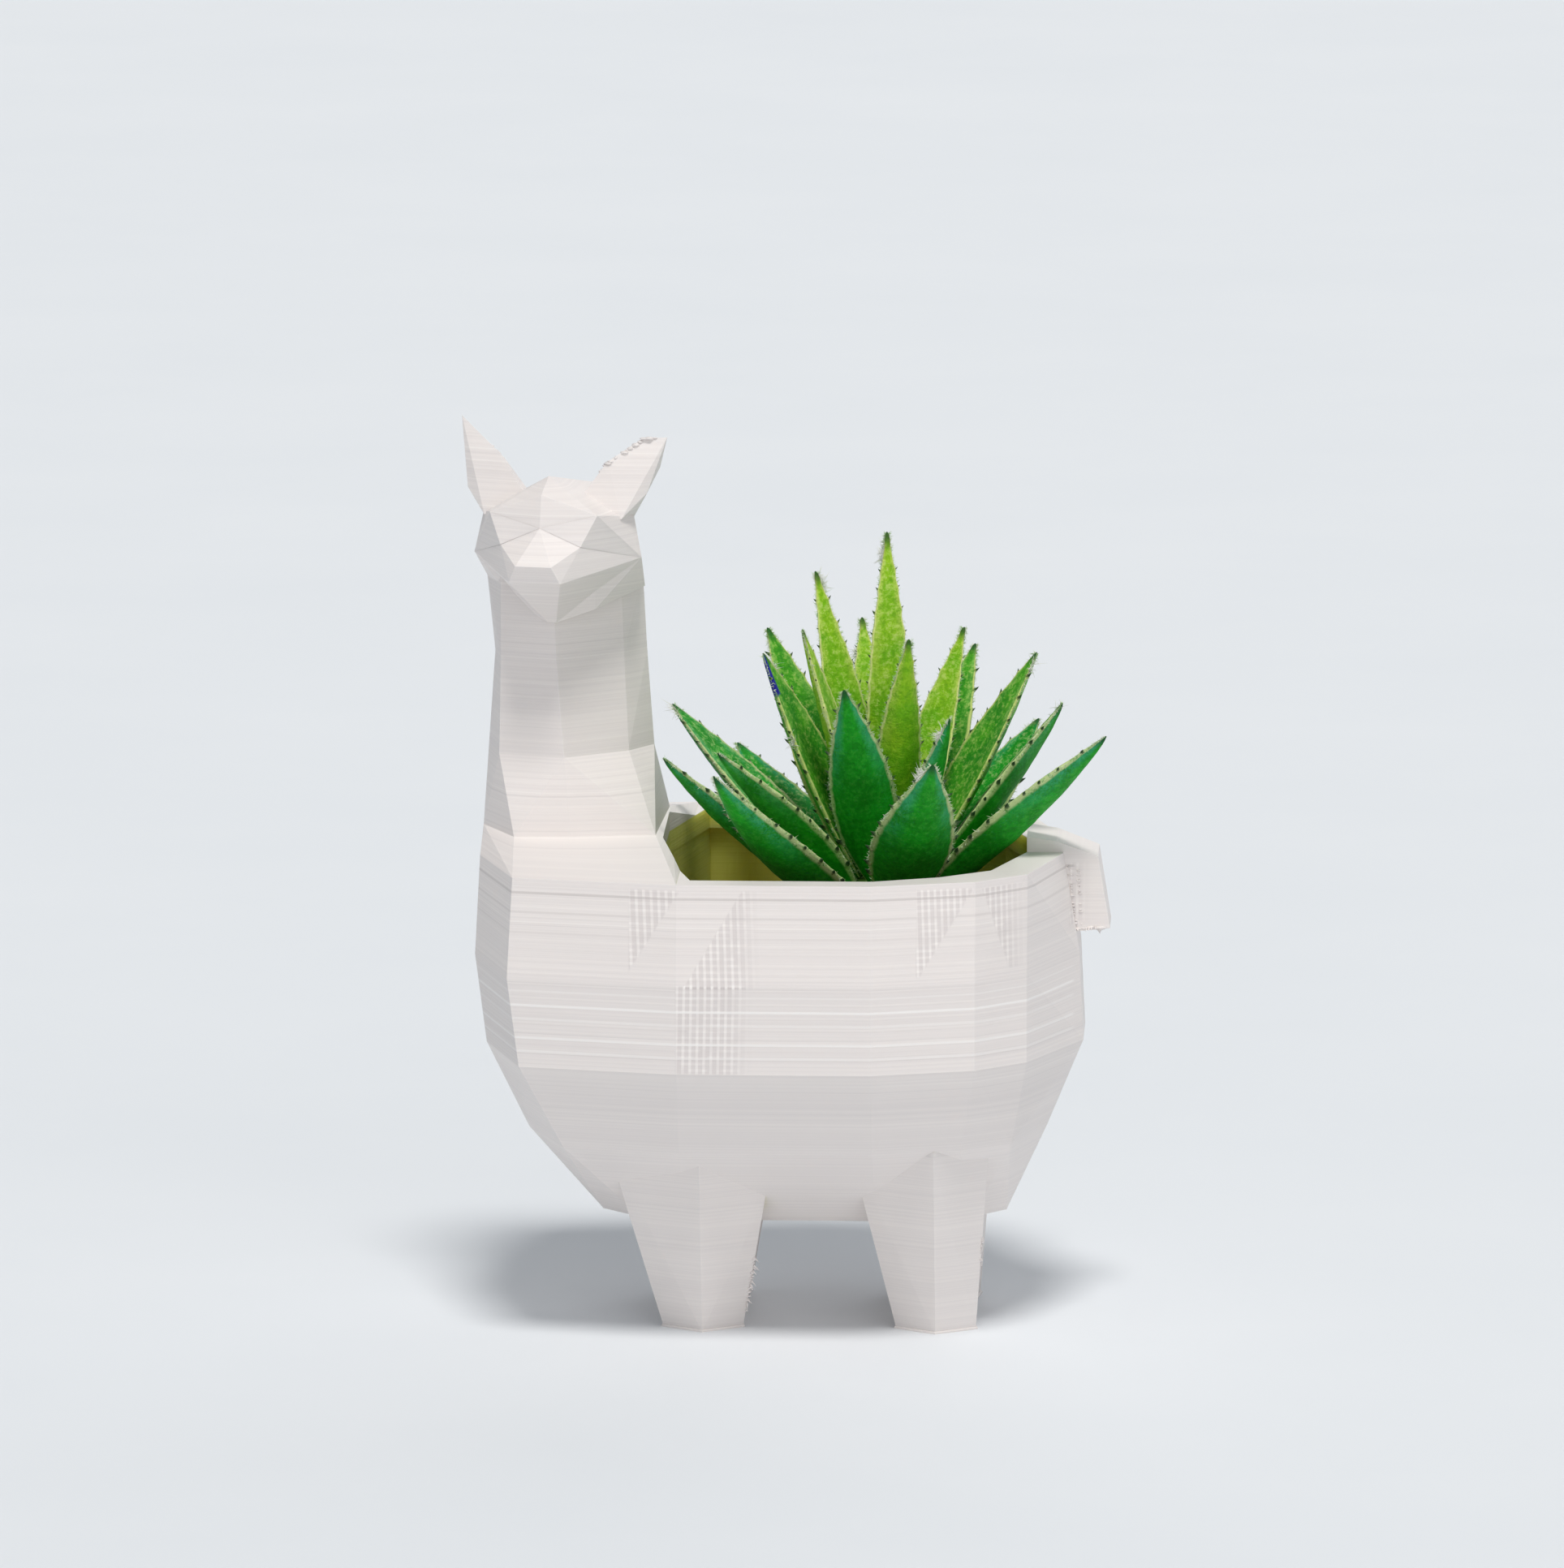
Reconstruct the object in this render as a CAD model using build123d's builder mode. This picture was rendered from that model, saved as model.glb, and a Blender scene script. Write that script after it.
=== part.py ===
"""Faceted llama planter with a small artificial aloe in its open back.

The pot is one hollow printed shell. A cut foam plug stands on the pot's floor, a stem is pushed into the plug,
and the stem carries a domed core into which every leaf is plugged by its own peg.
Frame: millimetres, X from chest to tail, Y across, Z up, ground at Z = 0, origin under the middle of the object.
"""

import os
from math import cos, radians, sin
from typing import NamedTuple

from build123d import *

# Body creases: height above the ground, reach to the chest and to the rump, half width
belly_height = 12.4
belly_chest = 21.2
belly_rump = 25.5
belly_half_width = 9.0
flank_height = 22.9
flank_chest = 29.5
flank_rump = 30.2
flank_half_width = 22.5
lower_crease_height = 33.2
lower_crease_chest = 34.3
lower_crease_rump = 34.4
lower_crease_half_width = 28.0
upper_crease_height = 43.5
upper_crease_chest = 35.6
upper_crease_rump = 33.9
upper_crease_half_width = 28.6
rim_height = 55.0
rim_chest = 35.0
rim_rump = 32.0
rim_half_width = 27.3

# Corners of a crease, as lengths along X and as shares of its half width
chest_corner_length = 4.6
side_front_x = -11.5
side_length = 22.1
haunch_length = 9.6
hip_length = 3.8
chest_share = 0.32
shoulder_share = 0.86
haunch_share = 0.87
hip_share = 0.68
rump_share = 0.18

# Hollow: wall, floor, lip at the mouth, and the solid chest in front of it
wall = 2.4
rump_wall = 3.4
floor_thickness = 3.2
lip_share = 0.226
lip_overhang = 0.8
bulkhead_x = -14.0
mouth_corner_length = 3.9
mouth_front_half_width = 7.4

# Neck: its axis, the heights of its creases above the rim's ledge, and how far it runs up into the head
neck_x = -25.1
ledge_rise = 2.4
neck_length = 26.6
neck_crease_rise = 9.0
neck_throat_rise = 20.1
neck_in_head = 3.0

# Corners of the neck at each crease, from its axis along X and Y; the neck twists as the head turns to the side
neck_base_corners = ((-9.9, -2.0), (-5.9, -10.3), (0.6, -10.2), (10.3, -8.4), (11.0, 10.5), (-8.0, 10.0))
neck_crease_corners = (
    (-9.4, 0.5),
    (-7.8, -6.3),
    (-0.2, -8.8),
    (7.0, -3.5),
    (9.7, 1.0),
    (8.3, 8.0),
    (-6.0, 9.3),
)
neck_throat_corners = (
    (-8.6, 0.0),
    (-7.6, -5.6),
    (-1.1, -7.8),
    (6.4, -2.4),
    (8.9, 0.9),
    (7.5, 7.4),
    (-6.0, 8.6),
)
neck_top_corners = (
    (-9.6, 0.5),
    (-7.6, -5.5),
    (-1.6, -7.5),
    (6.0, -2.0),
    (8.4, 0.8),
    (7.0, 7.0),
    (-6.5, 8.2),
)

# Head: its turn away from straight ahead, and its corners as forward, sideways and height above its base
head_turn = 79.0
crown = (9.5, 0, 15.2)
brow = (13.0, 0, 13.5)
brow_corner = (12.0, 6.3, 11.2)
temple = (4.9, 8.9, 10.2)
cheek = (5.4, 9.9, 5.5)
jaw = (1.0, 9.2, 1.5)
bridge = (13.8, 0, 9.8)
bridge_side = (13.5, 4.7, 7.7)
nose = (17.0, 2.1, 5.8)
lip = (16.3, 3.0, 3.8)
chin = (8.2, 0.5, -2.0)
chin_side = (6.2, 4.6, -0.6)
poll = (-6.0, 4.5, 12.0)
nape = (-8.5, 6.0, 3.0)

skull = (crown, brow, brow_corner, temple, cheek, jaw, bridge, chin, chin_side, poll, nape)
muzzle = (bridge, bridge_side, nose, lip, chin, cheek)

# Ears: corners as for the head; the tip of one ear came out blunt
ear_inner = (7.5, 3.55, 13.0)
ear_outer = (7.8, 8.1, 10.2)
ear_back = (3.5, 8.55, 9.9)
ear_root = (3.0, 3.0, 11.0)
ear_belly = (5.6, 10.6, 13.0)
ear_side = (2.5, 11.4, 15.6)
ear_front = (6.1, 6.1, 16.6)
ear_edge = (4.5, 9.9, 19.2)
sharp_ear_tip = (3.6, 11.8, 21.0)
blunt_ear_tip = (4.0, 12.6, 19.3)

# Legs: places of the hooves, their size, and the widening up to the flank
front_leg_x = -9.3
rear_leg_x = 17.6
leg_half_track = 7.9
hoof_half_length = 4.6
hoof_half_depth = 5.0
front_leg_flare_ahead = 6.1
front_leg_flare_behind = 3.8
rear_leg_flare_ahead = 5.2
rear_leg_flare_behind = 1.6
leg_top_inset = 2.0
flank_sink = 0.6
hoof_corner_share = 0.4
hoof_toe_share = 0.25

# Tail, measured from the rump at the rim
tail_half_width = 4.4
tail_root_rise = 1.8
tail_root_length = 4.2
tail_reach = 5.4
tail_drop = 9.0
tail_top_drop = 0.5
tail_top_set_back = 1.4
tail_root_set_back = 0.8
tail_slope = 0.5
tail_top_share = 0.9
tail_end_share = 0.8

# Foam plug: the room round it, and the depth of its top below the rim
plug_clearance = 0.5
plug_drop = 13.0

# Stem and leaf core
core_x = 11.5
core_radius = 7.0
core_base_drop = 3.0
stem_radius = 1.5
stem_share_of_plug = 0.68
stem_depth_in_core = 4.0
fit_clearance = 0.05
hole_end_gap = 0.5
mouth_cut_rise = 1.0

# Leaf pegs and leaf margins
peg_radius = 0.55
peg_length = 2.0
seat_gap = 0.05
leaf_base_share = 0.31
leaf_widening = 4.27
leaf_point_power = 1.3
leaf_base_thickness_share = 0.5
leaf_thickening = 1.6
leaf_end_share = 1.02
leaf_thinning_power = 0.75
leaf_margin_lift = 0.16
tooth_height = 0.6
tooth_pitch = 2.6
tooth_lean = 0.6
leaf_stations = (0.0, 0.12, 0.32, 0.6, 0.85, 0.97)
toothed_from = 0.14
toothed_to = 0.88

# Leaf tiers: greatest width and thickness
outer_leaf_width = 9.2
outer_leaf_thickness = 2.6
middle_leaf_width = 8.4
middle_leaf_thickness = 2.4
inner_leaf_width = 7.2
inner_leaf_thickness = 2.2
heart_leaf_width = 5.2
heart_leaf_thickness = 2.0

# Leaves of each tier: azimuth from the tail towards the far side, lean above level, length, upward bend, twist
outer_leaves = (
    (44, 36, 26, 0.16, 0),
    (130, 24, 27, 0.2, 0),
    (197.3, 31.9, 27.6, 0.16, 4),
    (233.8, 23.6, 32.2, 0.26, -1),
    (284, 35, 26.9, 0.22, -2),
    (336.5, 37.4, 30.9, 0.1, -5),
)
middle_leaves = (
    (99, 36, 30, 0.1, 0),
    (156, 36.9, 30.7, 0.1, 0),
    (215.2, 43.9, 26.3, 0.02, 0),
    (354, 48.7, 27.6, 0.1, 1),
)
inner_leaves = (
    (17.8, 58.8, 30.3, 0.04, 10),
    (64.3, 51.8, 31.5, 0.04, -4),
    (138, 58.4, 32.2, 0.04, -13),
    (185.5, 64.7, 29.4, 0.04, -27),
    (256.3, 59.3, 29.1, 0.04, 18),
    (308, 63, 23, 0.04, 26),
)
heart_leaves = (
    (41.5, 71.3, 30, 0, 20),
    (104.6, 69, 30.8, 0, 0),
    (188, 90, 40.7, 0, -76),
    (160.5, 77.9, 36.4, 0, -37),
    (217.7, 71.8, 32.1, 0, -49),
    (286, 74, 31, 0, 0),
)

# Levels worked out from the sizes above
neck_base_height = rim_height + ledge_rise
head_base_height = neck_base_height + neck_length
floor_height = belly_height + floor_thickness
plug_top_height = rim_height - plug_drop
core_height = plug_top_height + core_base_drop
stem_depth_in_plug = stem_share_of_plug * (plug_top_height - floor_height)
lip_bottom_height = rim_height - lip_share * (rim_height - upper_crease_height)
mouth_top_height = neck_base_height + mouth_cut_rise


def mirrored(points):
    """The points and their mirror images across the middle plane."""
    return [(x, side * y, z) for x, y, z in points for side in (-1, 1)]


class Crease(NamedTuple):
    """One level of the body: height, reach to chest and rump, half width, and where its rear corners are."""

    height: float
    chest: float
    rump: float
    half_width: float
    haunch_x: float
    hip_x: float


def crease(height, chest, rump, half_width, corners_from):
    """A level whose rear corners are measured from the given rump."""
    return Crease(height, chest, rump, half_width, corners_from - haunch_length, corners_from - hip_length)


def between(lower, upper, share):
    """The level at a share of the way from one level to the next."""
    return Crease(*(a + share * (b - a) for a, b in zip(lower, upper)))


def body_level(level):
    """Corners of one level of the body, from the chest to the rump."""
    outline = (
        (-level.chest, chest_share * level.half_width),
        (-level.chest + chest_corner_length, shoulder_share * level.half_width),
        (side_front_x, level.half_width),
        (min(side_front_x + side_length, level.haunch_x), level.half_width),
        (level.haunch_x, haunch_share * level.half_width),
        (level.hip_x, hip_share * level.half_width),
        (level.rump, rump_share * level.half_width),
    )
    return mirrored([(x, y, level.height) for x, y in outline])


def hollow_level(level, inset=0, clearance=0):
    """Corners of one level of the hollow, or with a clearance of what stands in it."""
    back = rump_wall + inset + clearance
    half_width = level.half_width - wall - inset - clearance
    front = bulkhead_x + clearance
    outline = (
        (front, min(mouth_front_half_width - clearance, half_width)),
        (front + mouth_corner_length, half_width),
        (min(side_front_x + side_length, level.haunch_x - back), half_width),
        (level.haunch_x - back, haunch_share * half_width),
        (level.hip_x - back, hip_share * half_width),
        (level.rump - back, rump_share * half_width),
    )
    return mirrored([(x, y, level.height) for x, y in outline])


# The head is drawn looking forward, then turned to the side about the neck's axis
facing = (-cos(radians(head_turn)), -sin(radians(head_turn)), 0)
head_plane = Plane(origin=(neck_x, 0, head_base_height), x_dir=facing, z_dir=(0, 0, 1))


def head_points(*corners):
    """Head corners on both sides, turned to the side."""
    return [head_plane.from_local_coords(Vector(point)) for point in mirrored(corners)]


def ear_points(side, tip):
    """Corners of one ear."""
    corners = (ear_inner, ear_outer, ear_back, ear_root, ear_belly, ear_side, ear_front, ear_edge, tip)
    return [head_plane.from_local_coords(Vector(x, side * y, z)) for x, y, z in corners]


def neck_level(height, corners):
    """Corners of the neck at one height."""
    return [(neck_x + x, y, height) for x, y in corners]


def leg_levels(x, side, flare_ahead, flare_behind):
    """Corners of a leg from its hoof to the flank, with a ridge on its outer side."""
    top = flank_height - flank_sink
    outer_top = flank_half_width - leg_top_inset
    inner = leg_half_track - hoof_half_depth
    ahead = x - hoof_half_length
    behind = x + hoof_half_length
    hoof = [
        (x, leg_half_track + hoof_half_depth),
        (ahead, leg_half_track + hoof_corner_share * hoof_half_depth),
        (behind, leg_half_track + hoof_corner_share * hoof_half_depth),
        (ahead + hoof_toe_share * hoof_half_length, inner),
        (behind - hoof_toe_share * hoof_half_length, inner),
    ]
    shoulder = [
        (x, outer_top),
        (ahead - flare_ahead, outer_top - hoof_half_depth),
        (behind + flare_behind, outer_top - hoof_half_depth),
        (ahead, inner),
        (behind, inner),
    ]
    return [(px, side * py, 0) for px, py in hoof] + [(px, side * py, top) for px, py in shoulder]


belly = crease(belly_height, belly_chest, belly_rump, belly_half_width, belly_rump)
flank = crease(flank_height, flank_chest, flank_rump, flank_half_width, flank_rump)
lower_crease = crease(
    lower_crease_height, lower_crease_chest, lower_crease_rump, lower_crease_half_width, rim_rump
)
upper_crease = crease(
    upper_crease_height, upper_crease_chest, upper_crease_rump, upper_crease_half_width, rim_rump
)
rim = crease(rim_height, rim_chest, rim_rump, rim_half_width, rim_rump)
body_levels = [body_level(level) for level in (belly, flank, lower_crease, upper_crease, rim)]
rim_front = [point for point in body_levels[-1] if point[0] <= side_front_x]

neck_base = neck_level(neck_base_height, neck_base_corners)
neck_levels = (
    neck_base,
    neck_level(neck_base_height + neck_crease_rise, neck_crease_corners),
    neck_level(neck_base_height + neck_throat_rise, neck_throat_corners),
    neck_level(head_base_height + neck_in_head, neck_top_corners),
)

# Levels of the hollow, from its floor to its lip
floor = between(belly, flank, floor_thickness / (flank_height - belly_height))
lip_bottom = rim._replace(height=lip_bottom_height)
mouth_top = rim._replace(height=mouth_top_height)
hollow_creases = (floor, flank, lower_crease, upper_crease, lip_bottom)

# Tail corners
tail_root_front = rim_rump - tail_root_length
tail_root_top = rim_height + tail_root_rise
tail_end = rim_rump + tail_reach
tail_corners = mirrored(
    [
        (tail_root_front, tail_half_width, tail_root_top),
        (tail_root_front, tail_half_width, rim_height - tail_drop / 2),
        (rim_rump - tail_root_set_back, tail_half_width, tail_root_top - tail_slope),
        (tail_end - tail_top_set_back, tail_top_share * tail_half_width, rim_height - tail_top_drop),
        (tail_end, tail_end_share * tail_half_width, rim_height - tail_drop),
        (rim_rump, tail_top_share * tail_half_width, rim_height - tail_drop - tail_slope),
    ]
)

with BuildPart() as llama_pot:
    # Body, in bands between its creases
    for lower, upper in zip(body_levels, body_levels[1:]):
        ConvexPolyhedron(lower + upper)
    # Shoulders, neck and head
    ConvexPolyhedron(rim_front + neck_base)
    for lower, upper in zip(neck_levels, neck_levels[1:]):
        ConvexPolyhedron(lower + upper)
    ConvexPolyhedron(head_points(*skull))
    ConvexPolyhedron(head_points(*muzzle))
    ConvexPolyhedron(ear_points(-1, sharp_ear_tip))
    ConvexPolyhedron(ear_points(1, blunt_ear_tip))
    # Legs and tail
    for side in (-1, 1):
        ConvexPolyhedron(leg_levels(front_leg_x, side, front_leg_flare_ahead, front_leg_flare_behind))
        ConvexPolyhedron(leg_levels(rear_leg_x, side, rear_leg_flare_ahead, rear_leg_flare_behind))
    ConvexPolyhedron(tail_corners)
    # Hollow and its mouth
    hollow_levels = [hollow_level(level) for level in hollow_creases]
    for lower, upper in zip(hollow_levels, hollow_levels[1:]):
        ConvexPolyhedron(lower + upper, mode=Mode.SUBTRACT)
    mouth = hollow_level(lip_bottom, lip_overhang) + hollow_level(mouth_top, lip_overhang)
    ConvexPolyhedron(mouth, mode=Mode.SUBTRACT)

with BuildPart() as foam_plug:
    # The plug follows the hollow and is cut to what passes the mouth
    plug_levels = [hollow_level(level, 0, plug_clearance) for level in hollow_creases]
    for lower, upper in zip(plug_levels, plug_levels[1:]):
        ConvexPolyhedron(lower + upper)
    column_bottom = hollow_level(rim._replace(height=floor_height), lip_overhang, plug_clearance)
    column_top = hollow_level(rim._replace(height=plug_top_height), lip_overhang, plug_clearance)
    ConvexPolyhedron(column_bottom + column_top, mode=Mode.INTERSECT)
    with Locations((core_x, 0, plug_top_height)):
        Hole(radius=stem_radius + fit_clearance, depth=stem_depth_in_plug + hole_end_gap)

with BuildPart() as plant_stem:
    with BuildSketch(Plane.XY.offset(plug_top_height - stem_depth_in_plug)):
        with Locations((core_x, 0)):
            Circle(stem_radius)
    extrude(amount=stem_depth_in_plug + stem_depth_in_core)
    chamfer(plant_stem.faces().sort_by(Axis.Z)[0].edges(), length=stem_radius / 2)


def leaf_plane(azimuth, lean, twist=0):
    """Plane at the core's centre whose Z runs along a leaf and whose X runs across it."""
    a = radians(azimuth)
    e = radians(lean)
    along = Vector(cos(e) * cos(a), cos(e) * sin(a), sin(e))
    across = Vector(-sin(a), cos(a), 0).rotate(Axis((0, 0, 0), along), twist)
    return Plane(origin=(core_x, 0, core_height), x_dir=across, z_dir=along)


tiers = {
    "outer": (outer_leaves, outer_leaf_width, outer_leaf_thickness),
    "middle": (middle_leaves, middle_leaf_width, middle_leaf_thickness),
    "inner": (inner_leaves, inner_leaf_width, inner_leaf_thickness),
    "heart": (heart_leaves, heart_leaf_width, heart_leaf_thickness),
}

with BuildPart() as leaf_core:
    with Locations((core_x, 0, core_height)):
        Sphere(core_radius)
    split(bisect_by=Plane.XY.offset(plug_top_height), keep=Keep.TOP)
    with Locations(Location((core_x, 0, plug_top_height), (180, 0, 0))):
        Hole(radius=stem_radius + fit_clearance, depth=stem_depth_in_core + hole_end_gap)
    for leaves, *_ in tiers.values():
        for azimuth, lean, *_ in leaves:
            with Locations(leaf_plane(azimuth, lean).offset(core_radius)):
                Hole(radius=peg_radius + fit_clearance, depth=peg_length + hole_end_gap)


def half_width_at(station, width):
    """Half the width of a leaf blade at a share of its length, widest at about a third."""
    return width / 2 * (1 - station) ** leaf_point_power * (leaf_base_share + leaf_widening * station)


def thickness_at(station, thickness):
    """Thickness of a leaf blade on its middle line."""
    growth = leaf_base_thickness_share + leaf_thickening * station
    return thickness * growth * (leaf_end_share - station) ** leaf_thinning_power


def toothed_outline(length, width):
    """Half of a leaf's plan outline, along and across, with teeth that lean towards the tip."""
    root = core_radius + seat_gap
    points = [(root, 0), (root, half_width_at(0, width))]
    count = int((toothed_to - toothed_from) * length / tooth_pitch)
    for index in range(count):
        start = toothed_from + (toothed_to - toothed_from) * index / count
        point = start + tooth_lean * (toothed_to - toothed_from) / count
        points.append((root + start * length, half_width_at(start, width)))
        points.append((root + point * length, half_width_at(point, width) + tooth_height))
    end = leaf_stations[-1]
    points.append((root + toothed_to * length, half_width_at(toothed_to, width)))
    points.append((root + end * length, half_width_at(end, width)))
    points.append((root + end * length, 0))
    return points


def make_leaf(azimuth, lean, length, bend, twist, width, thickness):
    """One leaf: a channelled blade with a toothed margin, and the peg that plugs into the core."""
    plane = leaf_plane(azimuth, lean, twist)
    root = core_radius + seat_gap
    plan = Plane(origin=plane.origin, x_dir=plane.z_dir, z_dir=plane.y_dir)
    with BuildPart() as leaf:
        for station in leaf_stations:
            half = half_width_at(station, width) + tooth_height
            thick = thickness_at(station, thickness)
            middle = bend * length * station**2
            margin = middle + 2 * leaf_margin_lift * half
            with BuildSketch(plane.offset(root + station * length)):
                with BuildLine():
                    ThreePointArc((-half, margin), (0, middle - thick / 2), (half, margin))
                    ThreePointArc((half, margin), (0, middle + thick / 2), (-half, margin))
                make_face()
        loft()
        with BuildSketch(plan):
            with BuildLine():
                Polyline(*toothed_outline(length, width), close=True)
            make_face()
            mirror(about=Plane.XZ)
        extrude(amount=length, both=True, mode=Mode.INTERSECT)
        with Locations(plane.offset(root)):
            Cylinder(peg_radius, peg_length, align=(Align.CENTER, Align.CENTER, Align.MAX))
    return leaf.part


pieces = {
    "llama_pot": llama_pot.part,
    "foam_plug": foam_plug.part,
    "plant_stem": plant_stem.part,
    "leaf_core": leaf_core.part,
}
for tier, (leaves, width, thickness) in tiers.items():
    for number, leaf in enumerate(leaves, start=1):
        pieces[f"{tier}_leaf_{number}"] = make_leaf(*leaf, width, thickness)

# The origin goes to the ground under the middle of the whole object
box = Compound(list(pieces.values())).bounding_box()
to_origin = Location((-box.center().X, -box.center().Y, -box.min.Z))

os.makedirs("parts", exist_ok=True)
for name, piece in pieces.items():
    placed = piece.moved(to_origin)
    placed.label = name
    export_step(placed, f"parts/{name}.step")
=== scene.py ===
"""Looks of the faceted llama planter: printed shell, toothed aloe, foam, pale floor and soft light."""

import math
import random
from typing import NamedTuple

import bmesh
import bpy
import numpy as np
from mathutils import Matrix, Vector, noise
from mathutils.bvhtree import BVHTree


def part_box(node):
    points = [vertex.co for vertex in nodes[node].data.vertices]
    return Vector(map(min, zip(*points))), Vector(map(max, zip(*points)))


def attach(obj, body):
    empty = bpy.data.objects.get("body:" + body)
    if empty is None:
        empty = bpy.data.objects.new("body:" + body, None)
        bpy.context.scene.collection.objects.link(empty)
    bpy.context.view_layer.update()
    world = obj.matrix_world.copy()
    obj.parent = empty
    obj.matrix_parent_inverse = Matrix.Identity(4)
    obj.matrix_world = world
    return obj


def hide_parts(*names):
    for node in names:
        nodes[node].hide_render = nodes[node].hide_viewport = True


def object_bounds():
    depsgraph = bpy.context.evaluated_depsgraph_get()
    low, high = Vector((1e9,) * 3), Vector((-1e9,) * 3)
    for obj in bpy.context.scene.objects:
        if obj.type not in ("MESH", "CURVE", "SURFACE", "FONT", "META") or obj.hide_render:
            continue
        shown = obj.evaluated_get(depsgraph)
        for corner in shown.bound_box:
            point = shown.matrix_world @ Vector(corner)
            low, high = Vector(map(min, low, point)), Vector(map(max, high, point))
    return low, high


MM = 0.001
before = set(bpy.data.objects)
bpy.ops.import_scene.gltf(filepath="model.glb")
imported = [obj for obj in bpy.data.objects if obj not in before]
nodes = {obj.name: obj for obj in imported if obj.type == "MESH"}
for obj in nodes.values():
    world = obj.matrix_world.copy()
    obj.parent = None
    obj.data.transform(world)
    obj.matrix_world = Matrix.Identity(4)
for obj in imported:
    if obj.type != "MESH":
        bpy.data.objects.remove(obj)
cad_low, cad_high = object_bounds()


class Material:
    """A node material, with short ways to add and join its nodes."""

    def __init__(self, name):
        self.material = bpy.data.materials.new(name)
        self.material.use_nodes = True
        self.tree = self.material.node_tree
        self.shader = self.tree.nodes["Principled BSDF"]
        self.place = self.add("ShaderNodeTexCoord").outputs["Object"]

    def add(self, kind, **settings):
        node = self.tree.nodes.new(kind)
        for key, value in settings.items():
            setattr(node, key, value)
        return node

    def feed(self, socket, value):
        if isinstance(value, bpy.types.NodeSocket):
            self.tree.links.new(value, socket)
        else:
            socket.default_value = value

    def math(self, operation, *values):
        node = self.add("ShaderNodeMath", operation=operation)
        for socket, value in zip(node.inputs, values):
            self.feed(socket, value)
        return node.outputs[0]

    def times(self, *values):
        product = values[0]
        for value in values[1:]:
            product = self.math("MULTIPLY", product, value)
        return product

    def plus(self, *values):
        total = values[0]
        for value in values[1:]:
            total = self.math("ADD", total, value)
        return total

    def minus(self, value, other):
        return self.math("SUBTRACT", value, other)

    def smooth(self, value, low, high, out_low=0.0, out_high=1.0):
        node = self.add("ShaderNodeMapRange", interpolation_type="SMOOTHSTEP")
        for socket, item in zip(node.inputs, (value, low, high, out_low, out_high)):
            self.feed(socket, item)
        return node.outputs[0]

    def split(self, vector):
        node = self.add("ShaderNodeSeparateXYZ")
        self.feed(node.inputs[0], vector)
        return node.outputs

    def stretched(self, x, y, z):
        node = self.add("ShaderNodeMapping")
        self.feed(node.inputs["Vector"], self.place)
        node.inputs["Scale"].default_value = (x, y, z)
        return node.outputs[0]

    def noise(self, scale, detail=4.0, roughness=0.6, vector=None):
        node = self.add("ShaderNodeTexNoise")
        self.feed(node.inputs["Vector"], vector or self.place)
        node.inputs["Scale"].default_value = scale
        node.inputs["Detail"].default_value = detail
        node.inputs["Roughness"].default_value = roughness
        return node.outputs["Fac"]

    def mix(self, share, first, second):
        node = self.add("ShaderNodeMix", data_type="RGBA")
        self.feed(node.inputs["Factor"], share)
        for socket, value in zip((node.inputs[6], node.inputs[7]), (first, second)):
            self.feed(socket, value if isinstance(value, bpy.types.NodeSocket) else (*value, 1.0))
        return node.outputs[2]

    def attribute(self, name):
        return self.add("ShaderNodeAttribute", attribute_name=name).outputs["Fac"]

    def bump(self, height, strength, distance):
        node = self.add("ShaderNodeBump")
        node.inputs["Strength"].default_value = strength
        node.inputs["Distance"].default_value = distance
        self.feed(node.inputs["Height"], height)
        self.feed(self.shader.inputs["Normal"], node.outputs["Normal"])

    def set(self, **values):
        for key, value in values.items():
            self.feed(self.shader.inputs[key.replace("_", " ")], value)


def srgb(red, green, blue):
    """A colour given as 0 to 255 screen values, as the linear values that the shaders take."""
    return tuple(
        c / 255 / 12.92 if c <= 10 else ((c / 255 + 0.055) / 1.055) ** 2.4 for c in (red, green, blue)
    )


# Printed plastic: places in millimetres, in the part's frame

LAYER = 0.2
# The layer lines are faint on the legs and the belly: the Z where they begin to gain, and where they are full
LINED_FROM, LINED_FULL, LINED_LEAST = 26, 34, 0.2
# Single layers that stand out on the body: height, and how much lighter or darker they are
MARKED_LAYERS = (
    (53.4, -0.8),
    (51.2, -0.4),
    (48.9, -0.25),
    (42.2, 0.3),
    (40.5, 0.9),
    (38.9, 0.4),
    (36.7, 0.8),
    (35.1, 0.5),
)
MARKED_FROM_X, MARKED_TO_X, MARKED_END = -36, 33, 0.5
MARK_HALF_WIDTH, MARK_OUTER = 0.08, 0.2
# Patches of the wall in which the crossed infill shows: lowest and highest Z,
# then the left and the right boundary, each as an X at the lowest Z and how it moves with Z
INFILL_PATCHES = (
    (44.6, 54.2, (-17.1, 0.0), (-17.0, 0.62)),
    (43.4, 54.2, (-10.8, 0.60), (-1.5, 0.0)),
    (33.4, 43.4, (-11.7, 0.0), (-2.5, 0.0)),
    (44.6, 54.2, (15.6, 0.0), (16.4, 0.62)),
    (44.8, 54.0, (26.0, -0.32), (28.6, 0.0)),
    (47.0, 53.6, (32.6, 0.0), (35.6, 0.0)),
)
# Width over which a patch fades: at most of its sides, at a slanted right side, and at an upright right side
PATCH_FADE, SLANTED_FADE, UPRIGHT_FADE = 0.3, 0.4, 3.5
INFILL_CELL, RUNGS_PER_CELL, STRIPE_SLANT = 0.8, 1.05, 0.35
HOLLOW_CENTRE = (8.0, 0.0, 40.0)
HOLLOW_LOW = (-14.3, -27.8, 14.0)
HOLLOW_HIGH = (30.5, 27.8, 54.9)
HOLLOW_EDGE, HOLLOW_FLOOR_Z = 0.2, 15.6
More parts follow.
